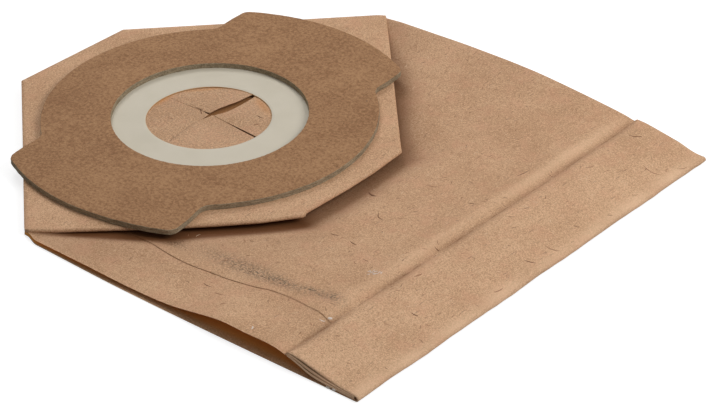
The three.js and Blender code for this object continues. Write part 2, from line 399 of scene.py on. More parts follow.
def kraft(name, light, dark):
    """Unbleached kraft paper: cloudy, with fine fibres both paler and darker than the sheet."""
    shader = Shader(name, 0.82)
    cloud = shader.noise(34.0, 4.0, 0.6)
    fleck = shader.noise(1150.0, 4.0, 0.7)
    grain = shader.noise(2300.0, 2.0, 0.6)
    tone = shader.total((cloud, 0.35), (fleck, 0.75), (grain, 0.7))
    colour = shader.blend(shader.spread(tone, 0.70, 1.10), dark, light)
    rosy = shader.spread(shader.noise(95.0, 4.0, 0.6), 0.45, 0.7, 0.0, 0.35)
    colour = shader.blend(rosy, colour, ROSY)
    pale = fibres(shader, 900.0, 0.7, 0.30, 0.55, 1.0)
    colour = shader.blend(pale, colour, srgb(222, 194, 166), 0.20)
    for turn, seed in ((0.3, 2.0), (1.5, 3.0), (2.5, 4.0)):
        dark_fibre = fibres(shader, 620.0, turn, 0.20, 0.72, seed)
        colour = shader.blend(dark_fibre, colour, srgb(96, 66, 44), 0.42)
    patches = shader.spread(shader.noise(1100.0, 4.0, 0.75), 0.40, 0.62)
    # grey dust, and painted shade in the ring's well and at a few spots beside the seam
    colour = shader.blend(shader.attribute("grime"), colour, DUST_AND_SHADE_GREY, patches)
    # painted warm bounce light inside the folds
    colour = shader.blend(shader.attribute("deep"), colour, FOLD_BOUNCE_COLOUR, 0.9)
    # painted highlight
    colour = shader.blend(shader.attribute("worn"), colour, HIGHLIGHT_COLOUR)
    # painted glow round the ring's hole
    colour = shader.blend(shader.attribute("stain"), colour, RING_GLOW_COLOUR)
    # painted shade, and the dark line along the seam's edge
    colour = shader.blend(shader.attribute("line"), colour, SHADE)
    fuzz = shader.total((shader.noise(900.0, 4.0, 0.7), 1.0), (cloud, 0.5))
    shader.relief(fuzz, 0.00025, 0.45)
    return shader.colour(colour)


def liner_board():
    """The brown kraft liner on the collar's face."""
    shader = Shader("board_liner", 0.86)
    cloud = shader.noise(48.0, 4.0, 0.6)
    fleck = shader.noise(700.0, 4.0, 0.7)
    grain = shader.noise(1800.0, 2.0, 0.6)
    tone = shader.total((cloud, 0.3), (fleck, 0.8), (grain, 0.4))
    colour = shader.blend(shader.spread(tone, 0.58, 0.92), srgb(131, 92, 60), srgb(171, 130, 92))
    for turn, seed in ((0.5, 5.0), (2.1, 6.0)):
        fibre = fibres(shader, 700.0, turn, 0.22, 0.6, seed)
        colour = shader.blend(fibre, colour, srgb(92, 64, 46), 0.3)
    specks = shader.spread(shader.noise(520.0, 2.0, 0.5), 0.74, 0.78, 0.0, 0.7)
    colour = shader.blend(specks, colour, srgb(74, 52, 40))
    shader.relief(shader.noise(1000.0, 4.0, 0.7), 0.0002, 0.4)
    return shader.colour(colour)


def cut_board():
    """The cut edge of greyboard: grey, in thin layers, with pale fibres."""
    shader = Shader("board_edge", 0.95, 0.15)
    layers = shader.noise(1.0, 3.0, 0.6, shader.scaled(260.0, 260.0, 3600.0))
    specks = shader.noise(1600.0, 3.0, 0.7)
    tone = shader.total((layers, 0.6), (specks, 0.5))
    colour = shader.blend(shader.spread(tone, 0.42, 0.72), srgb(124, 108, 86), srgb(178, 162, 136))
    colour = shader.blend(shader.spread(specks, 0.66, 0.74, 0.0, 0.6), colour, srgb(190, 182, 166))
    shader.relief(tone, 0.0004, 0.6)
    return shader.colour(colour)


def seal_rubber():
    """Smooth off-white sheet."""
    shader = Shader("seal_sheet", 0.6, 0.2)
    cloud = shader.noise(60.0, 3.0, 0.5)
    colour = shader.blend(shader.spread(cloud, 0.3, 0.7), srgb(200, 191, 172), srgb(205, 196, 178))
    shader.relief(shader.noise(700.0, 2.0), 0.0001, 0.15)
    return shader.colour(colour)


def plain(name, colour, roughness):
    """One even colour."""
    return Shader(name, roughness).colour(colour)


KRAFT = kraft("kraft_paper", srgb(215, 175, 139), srgb(171, 130, 95))
# the same paper a little paler, for the end strip and its plies: painted light, for the strip's more
# brightly lit face
KRAFT_LIGHTER = kraft("kraft_paper_end", srgb(221, 181, 145), srgb(177, 137, 102))
LINER = liner_board()
CUT = cut_board()
SEAL = seal_rubber()
SEAL_EDGE = plain("seal_edge", srgb(196, 150, 96), 0.5)
FIBRE_DARK = plain("fibre_dark", srgb(116, 78, 52), 0.8)
FIBRE_BROWN = plain("fibre_brown", srgb(158, 112, 82), 0.8)
FIBRE_PALE = plain("fibre_pale", srgb(222, 192, 160), 0.8)
PASTE = plain("dried_paste", srgb(222, 208, 196), 0.5)


# The tube: back wall, side folds and front wall as one sheet round a closed section

SEAM_LINE = 0.36  # how dark the seam's edge is
SEAM_LINE_WIDTH = 0.17
FAR_FOLD_BOUNCE = 0.3  # how strong the painted warm bounce light in the far side fold is, beside the near one
# painted highlight on the ridge just before the crease
RIDGE_HIGHLIGHT = 0.45
RIDGE_HIGHLIGHT_X = 4.6  # how far the painted highlight on the ridge lies before the strip
RIDGE_HIGHLIGHT_WIDTH = 2.6


def tube_columns():
    """Where the tube's points lie along it, closer at its mouth and at the crease."""
    mouth = np.linspace(-1.0, 14.0, 16)
    wall = np.linspace(15.5, STRIP_EDGE - 10, 86)
    crease = np.linspace(STRIP_EDGE - 9, STRIP_EDGE + 2, 13)
    end = np.linspace(STRIP_EDGE + 4, TUBE_LENGTH - 1.6, 20)
    return np.concatenate([mouth, wall, crease, end])


def side_fold(xs, sign, half, front):
    """A side, from the back wall's edge in to the fold and out to the front wall's lip."""
    v = np.array([0.0, 0.04, *np.linspace(0.1, 0.9, 13), 0.96, 1.0])[None, :]
    lip = front_top(xs, sign * front)[:, None] - PAPER / 2
    edge = mix(half[:, None], front[:, None], v)
    y = edge - gusset(np.maximum(xs, 0.0))[:, None] * (1 - np.abs(2 * v - 1) ** 1.4)
    return sign * y, mix(PAPER / 2, lip, v)


def front_wall(xs, near, far):
    """The front wall between its two edges, with closer points behind the seam's edge."""
    seam = seam_y(np.maximum(xs, 0.0))[:, None]
    near_steps = np.concatenate([[0.0, 0.25, 0.7, 1.5, 2.8], np.linspace(4.5, 30.0, 14)]) / 30.0
    far_steps = np.concatenate([[0.0015, 0.004, 0.01, 0.02], np.linspace(0.03, 1.0, 118)])
    near_part = mix(seam, near[:, None], near_steps[None, ::-1])
    y = np.concatenate([near_part, mix(seam, far[:, None], far_steps[None, :])], 1)
    x = xs[:, None]
    return y, front_top(x, y) + seam_rise(x, y) - PAPER / 2


def tube_looks(x, y, near_side, top, far_side):
    """The looks of the tube's points; near_side, top and far_side are its rows on each wall."""
    v = np.linspace(0.0, 1.0, near_side.stop - near_side.start)[None, :]
    # painted warm bounce light on the paper inside the side folds
    folded = smooth((v - 0.03) / 0.12) * (1 - smooth((v - 0.8) / 0.12))
    deep = np.zeros_like(y)
    deep[:, near_side] = folded
    deep[:, far_side] = FAR_FOLD_BOUNCE * folded[:, ::-1]
    on_top = np.zeros_like(y)
    on_top[:, top] = 1.0
    seam = SEAM_LINE * bump(y, seam_y(x) - 0.1, SEAM_LINE_WIDTH)
    seam = seam * smooth((x - 44) / 6.0) * smooth((STRIP_EDGE - x) / 3.0)
    # the seam's dark edge, and painted shade beside the block bottom and in the crease
    dark = seam + block_shade(x, y) + crease_shade(x - STRIP_EDGE + 0.4, y, 1.0)
    worn = RIDGE_HIGHLIGHT * bump(x, STRIP_EDGE - RIDGE_HIGHLIGHT_X, RIDGE_HIGHLIGHT_WIDTH) * ridge_highlight_along(y)
    return {
        "grime": on_top * dust_and_shade_at(x, y),
        "line": on_top * np.clip(dark, 0, 1),
        "deep": deep,
        "worn": on_top * worn,
    }


def tube():
    """The whole tube: back wall, near side, front wall and far side."""
    xs = tube_columns()
    ahead = np.maximum(xs, 0.0)
    half, front, pull = back_half(ahead), front_half(ahead), near_pull(ahead)
    near_y, near_z = side_fold(xs, -1, half - pull, front - pull)
    far_y, far_z = side_fold(xs, 1, half, front)
    top_y, top_z = front_wall(xs, pull - front, front)
    back_y = mix(half[:, None], (pull - half)[:, None], np.linspace(0.0, 1.0, 26)[None, :])
    back_z = np.full_like(back_y, PAPER / 2)
    y = np.concatenate([back_y[:, 1:-1], near_y, top_y[:, 1:-1], far_y[:, ::-1]], 1)
    z = np.concatenate([back_z[:, 1:-1], near_z, top_z[:, 1:-1], far_z[:, ::-1]], 1)
    x = np.broadcast_to(xs[:, None], y.shape)
    first = back_y.shape[1] - 2
    second = first + near_y.shape[1]
    third = second + top_y.shape[1] - 2
    looks = tube_looks(x, y, slice(first, second), slice(second, third), slice(third, None))
    points = np.stack([x, y + BAG_SHIFT, z], -1).reshape(-1, 3)
    faces = grid_faces(*y.shape, wrap=True)
    thicken(add_mesh("bag_tube", points, faces, [KRAFT], looks=looks, sharp=50), PAPER)


def blot(x, y, cx, cy, length, width, turn):
    """A soft blot, longer one way than the other, used for dust, painted shade and painted glow."""
    along = (x - cx) * math.cos(turn) + (y - cy) * math.sin(turn)
    across = -(x - cx) * math.sin(turn) + (y - cy) * math.cos(turn)
    return np.exp(-((along / length) ** 2) - (across / width) ** 2)


# The shade beside the hexagon as curves of y: how dark, how wide, and the x + |y| at which it starts
shade_depth = profile([
    (-117, 0.1), (-106, 0.7), (-97, 1.0), (-50, 1.0), (-40, 0.95), (-30, 0.62), (-20, 0.5),
    (30, 0.5), (70, 0.6), (112, 0.4),
])
shade_reach = profile([
    (-117, 3), (-106, 5), (-97, 7.3), (-90, 9.5), (-84, 11.6), (-78, 9.5), (-70, 8), (-60, 7.2),
    (-40, 7), (-30, 7.5), (-15, 8.5), (20, 7), (50, 5), (85, 9), (112, 3),
])
shade_start = profile([
    (-117, 117.0), (-106, 118.6), (-91, 120.6), (-74, 122.4), (-62, 122.7), (-49, 122.1),
    (-34, 119.4), (0, 119),
])
SHADE_RIGHT_X = 85.4  # the x at which it starts on the right
WIDE_SHADES = [(0.22, 13.0), (0.26, 24.0)]  # the faint one round it, right and near: how dark, how wide


def block_shade(x, y):
    """The dark hollow along the raised edge of the block bottom."""
    slanted = (x + np.abs(y) - shade_start(y)) / math.sqrt(2)
    out = np.maximum(np.maximum(slanted, x - SHADE_RIGHT_X), 0.0)
    near = 1 - smooth((y + 55) / 25.0)
    close = shade_depth(y) * np.exp(-((out / shade_reach(y)) ** (2.6 + 2.4 * near)))
    right_wide, near_wide = (dark * np.exp(-((out / width) ** 2)) for dark, width in WIDE_SHADES)
    return np.clip(close + mix(right_wide, near_wide, near), 0.0, 1.0)


CREASE_SHADE = 0.38


def crease_shade(x, y, width):
    """The uneven shade along the crease before the end strip; x is the distance from it."""
    uneven = np.clip(0.75 + ripple(0 * x, y, 36, 34.0, 0.3), 0.15, 1.3)
    return CREASE_SHADE * uneven * np.exp(-((x / width) ** 2))


# How strong the painted highlight on the ridge before the strip is, as a curve of y
ridge_highlight_along = profile([(-120, 0.1), (-60, 0.5), (-20, 0.8), (15, 0.5), (40, 0.9), (90, 1.0), (118, 0.3)])

# Each blot: how dark it is, its middle, its length, its width and its turn
DUST_AND_SHADE_BLOTS = [
    (0.75, 88, -79.5, 20, 5.0, 0.0),
    (0.95, 112, -81.0, 15, 2.8, 0.03),
    (1.3, 128.8, -78.0, 4.5, 1.3, -0.1),
    (0.9, 138, -77.5, 6, 3, -0.2),
    # partly grey dust, partly painted shadow under the board's tab corner
    (0.9, 54, -83.2, 6, 2.6, 0.0),
    # painted shade before the crease
    (0.18, 147, -96, 3.5, 14, 0.0),
]
# Painted orange glow round the ring's hole: how strong, its middle, its length, its width and its turn
RING_GLOW_BLOTS = [
    (0.6, -28.0, -1.5, 7, 1.8, 1.6),
    (0.45, -19.0, 17.2, 12, 1.0, 0.85),
    (0.45, 11.0, 23.0, 8, 1.8, -0.45),
]


def blots(rows, x, y):
    """All the blots of a list together."""
    total = 0.0
    for dark, *shape in rows:
        total = total + dark * blot(x, y, *shape)
    return np.clip(total, 0.0, 1.0)


def dust_and_shade_at(x, y):
    """Grey dust marks beside the seam and at the end strip, with painted shade under the board's tab corner
    and before the crease.
    """
    return blots(DUST_AND_SHADE_BLOTS, x, y)


def ring_glow_at(x, y):
    """Painted orange glow on the paper round the ring's hole, where light comes through the ring's thin
    edge.
    """
    return blots(RING_GLOW_BLOTS, x, y)


# The block bottom: the panel with its cross slit and its rolled edge

SLIT = np.array([-1.6, 2.6])  # the middle of the cross slit
SLIT_ARMS = [math.radians(a) for a in (-87.1, -4.4, 81.7, 182.3)]
SLIT_REACH = 34.0
TIP_FADE = 6.0  # how far from the middle a flap's tip still moves by itself


def arm_curve(*points):
    """A curve of the distance from the slit's middle, which comes to zero where the slit ends."""
    return profile([*points, (SLIT_REACH, 0)])


# Each flap between two arms of the slit: how far its tip has moved, then how far the edge along its
# first and its last arm has moved sideways and up
FLAPS = [
    {
        "tip": (0.6, -0.2),
        "aside": (
            arm_curve((0, 0.6), (5, 0), (10, -0.6), (20, -0.45)),
            arm_curve((0, 0), (10, 0), (16, -0.2), (28, -0.3)),
        ),
        "up": (arm_curve((0, 0.2), (10, 0.8), (20, 0.8)), arm_curve((0, 0.15), (14, -0.1))),
    },
    {
        "tip": (1.5, -0.1),
        "aside": (
            arm_curve((0, 0.0), (9, 0.0), (16, 0.35), (28, 0.6)),
            arm_curve((0, -1.5), (2, -2.2), (8, -2.7), (14, -2.4), (20, -1.8), (26, -0.8)),
        ),
        "up": (arm_curve((0, 0.3), (14, 0.1)), arm_curve((0, 0.1), (10, -0.15))),
    },
    {
        "tip": (-1.7, 0.5),
        "aside": (
            arm_curve((0, 1.8), (4, 1.9), (10, 1.2), (16, 0.6), (26, 0.8)),
            arm_curve((0, -0.55), (8, -0.25)),
        ),
        "up": (arm_curve((0, 0.1), (12, 0.35)), arm_curve((0, 0))),
    },
    {
        "tip": (-1.5, -0.5),
        "aside": (
            arm_curve((0, -0.45), (8, -0.05)),
            arm_curve((0, -1.5), (6, -1.2), (11, -0.7), (20, -0.35)),
        ),
        "up": (arm_curve((0, -0.1), (14, -0.05)), arm_curve((0, -0.25), (16, -0.6), (28, -0.5))),
    },
]


def panel_outline():
    """The panel's rolled edge from the near tip round to the right: a hexagon, folded by hand."""
    near = [(0.0, -116.9), (12, -106.9), (29, -91.6), (48, -74.6), (60, -62.9)]
    near += [(73.4, -48.9), (84.8, -34.2)]
    notch = [(84.9, -32.8), (83.9, -31.2), (84.0, -29.5)]
    right = [(85.6, -5.0), (85.8, 12.0), (84.7, 32.2)]
    far = [(80.6, 36.4), (1.8, TIP_Y + 1.7), (-HALF_DEPTH, CORNER_Y), (-HALF_DEPTH - 3.6, 3.5 - CORNER_Y)]
    return np.array(near + notch + right + far, float)


def reach(angles):
    """Distance from the slit's centre to the panel's edge, at each angle."""
    corners = panel_outline()
    out = np.full(len(angles), np.inf)
    way = np.stack([np.cos(angles), np.sin(angles)])
    for a, b in zip(corners, np.roll(corners, -1, 0)):
        edge, offset = b - a, a - SLIT
        slant = way[0] * edge[1] - way[1] * edge[0]
        t = (offset[0] * edge[1] - offset[1] * edge[0]) / slant
        s = (offset[0] * way[1] - offset[1] * way[0]) / slant
        good = (t > 0) & (s > -1e-6) & (s < 1 + 1e-6)
        out = np.where(good & (t < out), t, out)
    return out


def move_flap(flap, x, y, r, across, arms):
    """Moves one flap of the slit; across runs from 0 on its first arm to 1 on its last."""
    away = smooth(r / TIP_FADE)
    x = x + flap["tip"][0] * (1 - away) * (r < SLIT_REACH)
    y = y + flap["tip"][1] * (1 - away) * (r < SLIT_REACH)
    lift = np.zeros_like(x)
    for end, (arm, near) in enumerate(zip(arms, (1 - across, across))):
        aside = flap["aside"][end](r) * near**2 * away
        x = x - math.sin(arm) * aside
        y = y + math.cos(arm) * aside
        lift = lift + flap["up"][end](r) * near**2
    return x, y, lift


ROLL_OUT = 1.2  # how far the panel's edge rolls out
ROLL_DROP = 2.1  # how thick the folded edge is on the right, where it turns in under itself
TUCK_REACH = 22.0  # how far it goes on under the panel
EDGE_DROOP = 0.25  # how far it hangs
PLY_DROP = 1.9  # how far down the ply seen through the slit lies
PLY_HALF_WIDTH = 42.0
BACK_INSET = 4.0  # how far the back wall's left half stays inside the panel's edge


def panel_spokes():
    """Angles from the slit's first arm once round, and where the four arms are among them."""
    start = SLIT_ARMS[0]
    corners = [math.atan2(y - SLIT[1], x - SLIT[0]) for x, y in panel_outline()]
    extra = [a + d for a in corners for d in (-0.012, 0.0, 0.012)]
    fan = np.concatenate([np.linspace(0, 2 * math.pi, 241)[:-1] + start, extra, SLIT_ARMS])
    angles = np.unique(np.round((fan - start) % (2 * math.pi), 6)) + start
    apart = [np.abs((angles - arm + math.pi) % (2 * math.pi) - math.pi) for arm in SLIT_ARMS]
    cuts = [0] + [int(np.argmin(gap)) for gap in apart[1:]] + [len(angles)]
    return np.append(angles, angles[0] + 2 * math.pi), cuts


def panel_quarter(turn, edge):
    """A quarter of the panel: out from the slit's middle, over the rolled edge and back under it."""
    inner = np.linspace(0.0, SLIT_REACH, 30)[:, None]
    outward = np.linspace(0.0, 1.0, 34)[1:, None]
    roll = np.linspace(0.0, math.pi, 13)[1:, None]
    under = np.array([0.35, 0.7, 1.0])[:, None]
    on_left = smooth((3.0 - SLIT[0] - edge * np.cos(turn)) / 4.0)
    out = ROLL_OUT * (1 - 0.75 * on_left)
    rim = edge - out
    flat = np.concatenate([inner + 0 * rim, SLIT_REACH + outward * (rim - SLIT_REACH)])
    rolled = rim + out * np.sin(roll) - on_left * (1 - np.cos(roll))
    tucked = rim - 2 * on_left - under * TUCK_REACH
    r = np.concatenate([flat, rolled, tucked])
    x = SLIT[0] + r * np.cos(turn)
    y = SLIT[1] + r * np.sin(turn)
    rim_y = SLIT[1] + rim * np.sin(turn)
    droop = EDGE_DROOP * (1 - on_left)
    edge_top = panel_top(rim_y) - PAPER / 2 - droop
    half = mix((ROLL_DROP - PAPER) / 2, (edge_top - PAPER / 2) / 2, on_left)
    wave = ripple(x, y, 11, 70.0, 0.12) + ripple(x, y, 12, 18.0, 0.04)
    level = panel_top(y) - PAPER / 2 + wave * smooth((r - 20) / 40) * smooth((rim - r) / 8)
    level = level - droop * smooth(1 - (rim - r) / 9.0) - RING_SINK * (1 - smooth((r - 52) / 10.0))
    bend = np.concatenate([np.zeros_like(flat), roll + 0 * rim, math.pi + 0 * under * rim])
    tuck_rise = (panel_top(y) - panel_top(rim_y)) * (1 - on_left)
    z = np.where(bend > 0, edge_top - half * (1 - np.cos(bend)), level)
    return x, y, z + np.where(bend > 3.1, tuck_rise, 0.0), r


def panel():
    """The block bottom's face, in four quarters that each end in a flap of the slit."""
    angles, cuts = panel_spokes()
    far = reach(angles)
    points, faces, stain, grime = [], [], [], []
    count = 0
    for quarter in range(4):
        spokes = slice(cuts[quarter], cuts[quarter + 1] + 1)
        turn = angles[spokes][None, :]
        x, y, z, r = panel_quarter(turn, far[spokes][None, :])
        across = (turn - turn[0, 0]) / (turn[0, -1] - turn[0, 0]) + 0 * r
        arms = (SLIT_ARMS[quarter], SLIT_ARMS[(quarter + 1) % 4])
        x, y, lift = move_flap(FLAPS[quarter], x, y, r, across, arms)
        points.append(np.stack([x, y, z + lift], -1).reshape(-1, 3))
        faces.append(grid_faces(*r.shape, count))
        count += r.size
        # painted glow round the ring's hole
        stain.append(ring_glow_at(x, y).ravel())
        # painted shade on the paper in the well of the ring's hole, where the ring and the board shade it
        grime.append((0.25 * (1 - smooth((r - 31) / 4))).ravel())
    looks = {"grime": np.concatenate(grime), "stain": np.concatenate(stain)}
    piece = add_mesh("bag_panel", np.concatenate(points), np.concatenate(faces), [KRAFT], looks=looks)
    weld = piece.modifiers.new("weld", "WELD")
    weld.merge_threshold = 0.02 * MM
    thicken(piece, PAPER)


def under_ply():
    """A sheet under the slit, darkened with painted shade and warmed with painted bounce light, so the slit
    shows as a dark hollow.
    """
    side = np.linspace(-PLY_HALF_WIDTH, PLY_HALF_WIDTH, 9)
    x, y = np.meshgrid(side, side, indexing="ij")
    points = np.stack([x, y, panel_top(y) - PLY_DROP], -1).reshape(-1, 3)
    # painted shade and painted warm bounce light over the whole sheet
    looks = {"deep": np.full(x.size, 0.5), "line": np.full(x.size, 0.7)}
    thicken(add_mesh("bag_under_ply", points, grid_faces(*x.shape), [KRAFT], looks=looks), PAPER)


def left_back():
    """The back wall's left half, flat on the ground under the panel."""
    xs = np.linspace(-HALF_DEPTH, 1.0, 30)
    half = TIP_Y - BACK_INSET - np.abs(np.minimum(xs, 0.0))
    y = mix(-half[:, None], half[:, None], np.linspace(0, 1, 40)[None, :])
    x = np.broadcast_to(xs[:, None], y.shape)
    points = np.stack([x, y, np.full_like(y, PAPER / 2)], -1).reshape(-1, 3)
    thicken(add_mesh("bag_back", points, grid_faces(*y.shape), [KRAFT]), PAPER)


# The closed end, folded over onto the front wall

RISE_LENGTH = 4.5  # over which the strip comes up out of the crease
END_RISE_LENGTH = 1.2  # the same at its two ends
NOSE_LENGTH = 14.0  # over which it comes down to the closed end
NOSE_TUCK = 6.0  # how far it goes on under the bag
NEAR_PLIES = 3  # layers that show at its near end
PLY_THICKNESS = 0.8
PLY_DEPTH = 25.0  # how far they reach in
PLY_STEP = 1.6  # how far they stand out at the most
PLY_X = STRIP_EDGE + 18.0  # where they do
PLY_SPREAD = 16.0
FOLD_RADIUS = (END_HEIGHT + STRIP_THICKNESS - PAPER) / 2
FOLD_CENTRE = TUBE_LENGTH - FOLD_RADIUS - PAPER / 2

# How far the strip's near edge lies in from the front wall's, and how far it springs up, as curves of x
strip_inset = profile([(STRIP_EDGE, -0.1), (160, 0.1), (172, 0.3), (TUBE_LENGTH, 0.0)])
near_spring = profile([
    (STRIP_EDGE, 0.4), (151, 0.9), (157, 2.3), (163, 2.6), (171, 1.2), (178, 0.5),
    (TUBE_LENGTH, 0.4),
])


def near_gape(x, y):
    """How far the strip's near end springs up off the front wall."""
    return near_spring(x) * np.clip(-y / front_half(x), 0.0, 1.0) ** 3


def strip_top(x, y):
    """Top face of the folded strip: it starts in the crease and swells to its full thickness."""
    side = np.abs(y) / front_half(x)
    run = mix(RISE_LENGTH, END_RISE_LENGTH, smooth((side - 0.94) / 0.06))
    rise = 0.2 + (STRIP_THICKNESS - 0.2) * smooth((x - STRIP_EDGE) / run) + near_gape(x, y)
    down = smooth((x - FOLD_CENTRE + NOSE_LENGTH) / NOSE_LENGTH)
    return mix(front_top(x, y) + rise, END_HEIGHT + STRIP_THICKNESS, down)


def end_strip():
    """The strip from its cut edge in the crease, over the closed end and a little way back under it."""
    close = [0.0, 0.004, 0.012, 0.024]
    u = np.concatenate([close, np.linspace(0.04, 0.16, 8), np.linspace(0.19, 1.0, 30)])[:, None]
    v = np.linspace(0.0, 1.0, 160)[None, :]
    place = v * BAG_WIDTH
    x = mix(STRIP_EDGE, FOLD_CENTRE, u) + 0 * v
    frayed = ripple(place, 0 * v, 31, 9.0, 0.18) + ripple(place, 0 * v, 32, 3.0, 0.08)
    x = x + frayed * (1 - smooth(u / 0.05))
    y = mix(strip_inset(x) - front_half(x), front_half(x) + 0.3, v)
    z = strip_top(x, y) - PAPER / 2
    turn = np.linspace(math.pi / 2, -math.pi / 2, 12)[1:, None]
    half = back_half(TUBE_LENGTH)
    wavy = ripple(place, 0 * v, 33, 30.0, 0.22) + ripple(place, 0 * v, 34, 8.0, 0.08)
    nose_y = np.broadcast_to(mix(-half, half, v), (len(turn), v.shape[1]))
    nose_x = FOLD_CENTRE + FOLD_RADIUS * np.cos(turn) + np.cos(turn) * wavy
    nose_z = FOLD_RADIUS + PAPER / 2 + FOLD_RADIUS * np.sin(turn) + 0 * nose_y
    x = np.concatenate([x, nose_x, nose_x[-1:] - NOSE_TUCK])
    y = np.concatenate([y, nose_y, nose_y[-1:]])
    z = np.concatenate([z, nose_z, nose_z[-1:]])
    points = np.stack([x, y + BAG_SHIFT, z], -1).reshape(-1, 3)
    broken = 0.5 + ripple(x, y, 35, 6.0, 0.35)
    # painted shade along the strip's cut edge and in the crease before it
    line = 0.35 * np.clip(broken, 0, 1) * bump(x, STRIP_EDGE + 0.2, 0.5)
    line = np.clip(line + crease_shade(x - STRIP_EDGE, y, 2.0), 0, 1)
    # painted highlight along the closed end, where the strip bends down to its fold
    worn = 0.5 * bump(x, TUBE_LENGTH - 2.0, 4.0) * np.clip(0.8 + ripple(x, y, 37, 26.0, 0.3), 0.2, 1.2)
    looks = {"grime": dust_and_shade_at(x, y), "line": line, "worn": worn}
    thicken(add_mesh("bag_end_strip", points, grid_faces(*x.shape), [KRAFT_LIGHTER], looks=looks), PAPER)


def end_plies():
    """The layers of the bag under the strip, which show as pale lines at its near end, with painted light
    on their bands and painted shade between them.
    """
    for ply in range(1, NEAR_PLIES):
        u = np.linspace(0.0, 1.0, 40)[:, None]
        v = np.array([0.0, 0.01, 0.025, 0.04, 0.06, 0.08, 0.1, 0.13, 0.2, 0.5, 1.0])[None, :]
        share = ply / NEAR_PLIES
        x = mix(STRIP_EDGE + 1.0, FOLD_CENTRE - 1.0, u) + 0 * v
        step = PLY_STEP * bump(x, PLY_X, PLY_SPREAD)
        y = strip_inset(x) - front_half(x) - share * step + PLY_DEPTH * v
        z = strip_top(x, y) - PAPER / 2 - share * (STRIP_THICKNESS + near_gape(x, y))
        points = np.stack([x, y + BAG_SHIFT, z], -1).reshape(-1, 3)
        # painted shade where each ply lies under the one above
        covered = 0.7 * smooth((PLY_DEPTH * v - step / NEAR_PLIES - 0.05) / 0.25)
        # painted light on the pale bands of the plies
        looks = {"line": covered, "worn": np.full(x.shape, 0.9)}
        piece = add_mesh(f"bag_end_ply_{ply}", points, grid_faces(*x.shape), [KRAFT_LIGHTER], looks=looks)
        thicken(piece, PLY_THICKNESS)


# Dried drops between the plies at the strip's near end: each its place along it, its drop and its size
PASTE_DROPS = [(171.2, 2.6, 1.2), (174.3, 1.8, 1.0)]
DROP_OUT = 0.6  # how far they stand out


def paste_drops():
    """The drops, each a flattened ball."""
    around = np.linspace(0.0, 2 * math.pi, 16, endpoint=False)[None, :]
    rise = np.linspace(-0.48 * math.pi, 0.48 * math.pi, 9)[:, None]
    points, faces = [], []
    for x, below, size in PASTE_DROPS:
        y = -front_half(np.array(x)) - DROP_OUT
        px = x + size * np.cos(rise) * np.cos(around)
        py = y + 0.5 * size * np.cos(rise) * np.sin(around)
        pz = strip_top(np.array(x), y) - below + 0.45 * size * np.sin(rise) + 0 * around
        faces.append(grid_faces(*px.shape, px.size * len(points), wrap=True))
        points.append(np.stack([px, py + BAG_SHIFT, pz], -1).reshape(-1, 3))
    add_mesh("bag_paste_drops", np.concatenate(points), np.concatenate(faces), [PASTE])


# Loose fibres, dark marks and dried paste on the paper

FIBRE_COUNT = 420
SPECK_COUNT = 16
SPECKS_X, SPECKS_Y = 139.0, -53.0  # where paste has dried in small specks

# Each mark: its middle, its length, the way it points in degrees, its bend, its width and its kind: 0 is
# a dark fibre, 1 a brown one, 2 a pale one and 3 dried paste
MARKS = [
    (138, 50, 7, 80, 0.3, 0.45, 0), (113, 18, 5, 20, 0.6, 0.4, 1), (110, -15, 7, -35, 1.2, 0.4, 0),
    (105, -38, 4, 10, 0.2, 0.5, 0), (116, -39, 4, -10, 0.3, 0.5, 0), (88, -99, 5, -5, 0.3, 0.4, 0),
    (97, -102, 4, 0, 0.0, 0.4, 1), (136, 16, 3, 25, 0.2, 0.5, 0), (140, 20, 3, 60, 0.2, 0.4, 1),
    (157, 73, 5, 70, 0.4, 0.35, 1), (157, 107, 6, 40, 0.8, 0.4, 0), (176, 92, 9, 10, 1.6, 0.4, 1),
    (184, 105, 5, 60, 0.8, 0.4, 1), (179, 1, 5, 30, 0.3, 0.4, 0), (148, -21, 5, 5, 0.5, 0.5, 0),
    (154, -42, 4, 75, 0.3, 0.5, 1), (169, -63, 3, 10, 0.2, 0.5, 0), (182, -24, 5, 80, 0.4, 0.45, 1),
    (180, 15, 6, 20, 0.5, 0.35, 1), (93, 0.5, 6, -25, 0.3, 0.9, 0), (95, -0.5, 4, -10, 0.2, 0.7, 0),
    (146.2, -89.0, 2.0, 60, 0.0, 1.1, 3), (145, -92.5, 2.5, 30, 0.5, 0.4, 3),
    (127, -114.3, 2.5, 120, 0.4, 0.5, 3),
]

# The same on the flaps of the slit, where a cut ran too far and where fibres lie
FLAP_MARKS = [
    (-7.4, 1.0, 5, -40, 0.2, 0.35, 0), (-9.5, 2.2, 4, 5, 0.1, 0.35, 0), (17, 13.8, 3.6, 0, 0.2, 0.35, 0),
    (8.7, -21.5, 4.4, -27, 0.3, 0.3, 1), (20, 8, 2.5, 40, 0.3, 0.25, 1), (-14, -12, 2.5, 20, 0.3, 0.25, 1),
]


def on_paper(x, y):
    """Height of the paper on top: a flap of the slit, the front wall or the end strip."""
    flap = panel_top(y) - RING_SINK + 0.1
    wall = np.where(x > STRIP_EDGE + 1.0, strip_top(x, y), front_top(x, y) + seam_rise(x, y))
    return np.where(np.hypot(x, y) < RING_HOLE + 2, flap, wall)


